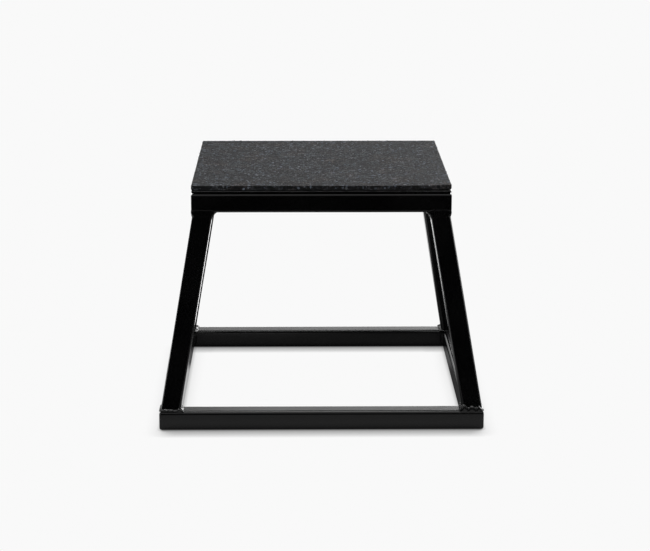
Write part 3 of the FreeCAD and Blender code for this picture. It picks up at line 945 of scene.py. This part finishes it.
class PLYOBOX_OT_coat_deck(bpy.types.Operator):
    """Coat the deck plate and spread the glue on it"""

    bl_idname = "plyobox.coat_deck"
    bl_label = "Coat Deck and Spread Glue"

    def execute(self, context):
        coat = context.scene.plyobox_coat
        rougher = coat.roughness + DECK_ROUGHER
        material = coat_material("deck_powder_coat", coat, rougher, coat.ior)
        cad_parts["deck_plate"].material_slots[0].material = material
        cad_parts["mat_glue"].material_slots[0].material = glue_material(coat)
        return {"FINISHED"}


class PLYOBOX_OT_lay_welds(bpy.types.Operator):
    """Lay rippled beads where the tubes and the deck are welded"""

    bl_idname = "plyobox.lay_welds"
    bl_label = "Lay Welds"

    def execute(self, context):
        weld = context.scene.plyobox_weld
        coat = context.scene.plyobox_coat
        seam_coat = coat_material("weld_powder_coat", coat, coat.weld_roughness, coat.ior)
        foot_coat = coat_material(
            "foot_weld_powder_coat", coat, coat.foot_roughness, coat.foot_ior
        )
        tree = bead_tree()
        lumpy = {
            "Flatness": weld.foot_flatness, "Wander": weld.foot_wander,
            "Stray": weld.foot_stray, "Sink": weld.foot_sink,
            "Limit": BASE_HALF + weld.foot_proud,
        }
        smooth = {
            "Flatness": weld.head_flatness, "Upward": -1.0, "Sink": weld.head_sink,
            "Limit": TOP_HALF + weld.head_proud,
        }
        hefts = dict.fromkeys(CORNERS, weld.rear_foot)
        hefts.update(front_left=weld.light_foot, front_right=weld.heavy_foot)
        foot = (weld.foot_inner, weld.foot_reach, weld.foot_climb, weld.foot_bulge)
        head = (weld.head_inner, weld.head_reach, weld.head_climb, 0.0)
        feet = leg_weld_paths(weld, TUBE, BASE_HALF, UP, *foot, weld.dressed, hefts)
        heads = leg_weld_paths(weld, LEG_TOP, TOP_HALF, -UP, *head, 0.0, {})
        groups = {
            "leg_foot_welds": (feet, foot_coat, lumpy),
            "leg_head_welds": (heads, seam_coat, smooth),
        }
        for node, half in (("base_corner_welds", BASE_HALF), ("top_corner_welds", TOP_HALF)):
            groups[node] = (corner_weld_paths(weld, node, half), seam_coat, {})
        groups["deck_stitch_welds"] = (stitch_weld_paths(weld), seam_coat, {})
        for node, (paths, material, shape) in groups.items():
            paths.lay(f"{node}_rippled", node, tree, weld, material, **shape)
        return {"FINISHED"}


class PLYOBOX_OT_lay_mat(bpy.types.Operator):
    """Lay the crumb rubber mat on the deck"""

    bl_idname = "plyobox.lay_mat"
    bl_label = "Lay Rubber Mat"

    def execute(self, context):
        mat = context.scene.plyobox_mat
        points, faces = mat_slab(mat)
        piece = new_piece("rubber_mat_crumb", points, faces=faces)
        materials = {
            "Crumb Material": crumb_material(mat), "Fleck Material": fleck_material(mat),
        }
        grow(piece, crumb_tree(), mat, materials)
        hand_over(piece, "rubber_mat")
        return {"FINISHED"}


class PLYOBOX_OT_set_stage(bpy.types.Operator):
    """Set the floor, the light and the camera"""

    bl_idname = "plyobox.set_stage"
    bl_label = "Set Stage"

    def execute(self, context):
        stage = context.scene.plyobox_stage
        context.scene.view_settings.view_transform = "Standard"
        lay_floor(stage)
        light_world(context.scene, stage)
        place_light("soft_box", stage.soft_size, Vector(stage.soft_place), stage.soft_power)
        place_light("side_light", stage.side_size, Vector(stage.side_place), stage.side_power)
        aim_camera(context.scene, stage)
        return {"FINISHED"}


# Stage

def painted_floor_glow(graph, place, stage):
    """Gives how bright the floor is painted for the coat's reflections: dark far in front,
    brightest on the left, with painted shade inside the base and along the rear rail.
    """
    across = graph.axis(place, "X")
    back = across.other("Y")
    near = graph.ramp(back, stage.dark_front, -BASE_HALF, 0.0, stage.front_glow)
    turn = BASE_HALF / 2
    side = graph.ramp(across, -turn, turn, stage.left_glow, stage.right_glow)
    # Painted shade inside the base, as if under the deck
    side = side * graph.ramp(back, BASE_HALF, BASE_HALF + STRIP, stage.inner_painted_shade, 1.0)
    # Painted shade: a dark strip on the floor in front of the rear rail
    beside = graph.math("ABSOLUTE", back - (BASE_HALF - STRIP))
    clear = graph.ramp(beside, STRIP, 2 * STRIP)
    side = side * clear + stage.rail_shade * (1.0 - clear)
    inside = graph.ramp(back, -BASE_HALF, -TOP_HALF)
    return near * (1.0 - inside) + side * inside


def open_sky(graph, reach, x, y, z):
    """Gives how much of the sky round a direction is open to the floor within that reach."""
    sky = {"Distance": reach, "Normal": graph.vector("NORMALIZE", graph.combine(x, y, z))}
    return graph.add("ShaderNodeAmbientOcclusion", {"samples": SKY_SAMPLES}, sky, "AO")


def lay_floor(stage):
    """Lays a pale glowing floor with the box's contact shadow painted into it, which shines on the
    coat.
    """
    half = stage.floor_size / 2
    corners = [(-half, -half, 0), (half, -half, 0), (half, half, 0), (-half, half, 0)]
    floor = new_piece("floor", corners, faces=[(0, 1, 2, 3)])
    material, graph, place = new_material("pale_floor")
    camera = graph.add("ShaderNodeLightPath", output="Is Camera Ray")
    glossy = camera.other("Is Glossy Ray")
    # Painted shadow: open sky to the rear-left and rear-right, and all round close by, darkens the
    # floor's glow
    right_rear = open_sky(graph, stage.shadow_reach, 1.0, 1.0, SHADOW_RISE)
    left_rear = open_sky(graph, stage.shadow_reach, -1.0, 1.0, SHADOW_RISE)
    shadow = graph.math("MAXIMUM", right_rear, left_rear) ** stage.shadow_power
    closed = 1.0 - open_sky(graph, stage.contact_reach, 0.0, 0.0, 1.0)
    contact = 1.0 - stage.contact_share * closed
    glow = shadow * contact * (1.0 - glossy * (1.0 - painted_floor_glow(graph, place, stage)))
    pale = graph.add("ShaderNodeEmission", None, {"Color": graph.scale(stage.backdrop, glow)})
    matt = graph.add("ShaderNodeBsdfDiffuse", None, {"Color": opaque(stage.backdrop)})
    shown = graph.math("MAXIMUM", camera, glossy)
    shown = graph.math("MAXIMUM", shown, camera.other("Is Transmission Ray"))
    mixed = graph.add("ShaderNodeMixShader", None, {0: shown, 1: matt, 2: pale})
    graph.add("ShaderNodeOutputMaterial", None, {"Surface": mixed})
    floor.data.materials.append(material)


def light_world(scene, stage):
    """Surrounds the box with a studio that is dark in front.

    Behind the box it is bright low down, most of all on the right, and dimmer high up. A soft
    light comes from above. The camera sees the plain backdrop.
    """
    world = bpy.data.worlds.new("studio")
    world.use_nodes = True
    world.node_tree.nodes.clear()
    graph = Graph(world.node_tree)
    camera = graph.add("ShaderNodeLightPath", output="Is Camera Ray")
    right = graph.axis(graph.add("ShaderNodeTexCoord", output="Generated"), "X")
    high = right.other("Z")
    rear = graph.ramp(right.other("Y"), *REAR_RANGE, 0.0, stage.rear_light)
    side = graph.ramp(right, *RIGHT_RANGE, stage.left_share, stage.right_share)
    fade = graph.ramp(high, *HIGH_RANGE, 1.0, stage.high_share)
    above = graph.ramp(high, *ABOVE_RANGE, 0.0, stage.above_light)
    studio = graph.math("MAXIMUM", rear * side * fade, above)
    glow = camera + (1.0 - camera) * studio
    colour = graph.scale(stage.backdrop, glow)
    background = graph.add("ShaderNodeBackground", None, {"Color": colour})
    graph.add("ShaderNodeOutputWorld", None, {"Surface": background})
    scene.world = world


def place_light(name, size, place, power):
    """Places one soft light that faces the middle of the box and that the camera doesn't see."""
    light = bpy.data.lights.new(name, "AREA")
    light.shape = "SQUARE"
    light.size = size
    light.energy = power
    lamp = bpy.data.objects.new(name, light)
    middle = UP * MAT_HIGH.z / 2
    turn = (middle - place).to_track_quat("-Z", "Y").to_matrix()
    lamp.matrix_world = Matrix.Translation(place) @ turn.to_4x4()
    lamp.visible_camera = False
    bpy.context.scene.collection.objects.link(lamp)


def aim_camera(scene, stage):
    """Puts the camera where the photograph was taken from."""
    ahead = Vector((
        math.sin(stage.yaw) * math.cos(stage.pitch),
        math.cos(stage.yaw) * math.cos(stage.pitch),
        -math.sin(stage.pitch),
    ))
    right = Vector((math.cos(stage.yaw), -math.sin(stage.yaw), 0))
    down = ahead.cross(right)
    rolled_right = right * math.cos(stage.roll) + down * math.sin(stage.roll)
    rolled_down = down * math.cos(stage.roll) - right * math.sin(stage.roll)
    turn = Matrix((rolled_right, -rolled_down, -ahead)).transposed()
    lens = bpy.data.cameras.new("camera")
    lens.lens = stage.lens
    lens.clip_end = CAMERA_SIGHT
    camera = bpy.data.objects.new("camera", lens)
    camera.matrix_world = Matrix.Translation(stage.eye) @ turn.to_4x4()
    scene.collection.objects.link(camera)
    scene.camera = camera


class PLYOBOX_PT_panel(bpy.types.Panel):
    """Lists the steps and settings of the jump box"""

    bl_idname = "PLYOBOX_PT_panel"
    bl_label = "Plyo Box"
    bl_space_type = "VIEW_3D"
    bl_region_type = "UI"
    bl_category = "Plyo Box"

    def draw(self, context):
        for operator in OPERATORS:
            self.layout.operator(operator.bl_idname)
        for name, group in SETTINGS.items():
            box = self.layout.box()
            for key in group.__annotations__:
                box.prop(getattr(context.scene, name), key)


SETTINGS = {
    "plyobox_coat": PLYOBOX_PG_coat,
    "plyobox_weld": PLYOBOX_PG_weld,
    "plyobox_mat": PLYOBOX_PG_mat,
    "plyobox_stage": PLYOBOX_PG_stage,
}
OPERATORS = (
    PLYOBOX_OT_coat_frame,
    PLYOBOX_OT_coat_deck,
    PLYOBOX_OT_lay_welds,
    PLYOBOX_OT_lay_mat,
    PLYOBOX_OT_set_stage,
)


def register():
    for group in SETTINGS.values():
        bpy.utils.register_class(group)
    for name, group in SETTINGS.items():
        setattr(bpy.types.Scene, name, PointerProperty(type=group))
    for item in (*OPERATORS, PLYOBOX_PT_panel):
        bpy.utils.register_class(item)


def unregister():
    for item in (PLYOBOX_PT_panel, *reversed(OPERATORS)):
        bpy.utils.unregister_class(item)
    for name in SETTINGS:
        delattr(bpy.types.Scene, name)
    for group in SETTINGS.values():
        bpy.utils.unregister_class(group)


def main():
    register()
    bpy.ops.plyobox.coat_frame()
    bpy.ops.plyobox.coat_deck()
    bpy.ops.plyobox.lay_welds()
    bpy.ops.plyobox.lay_mat()
    bpy.ops.plyobox.set_stage()


if __name__ == "__main__":
    main()
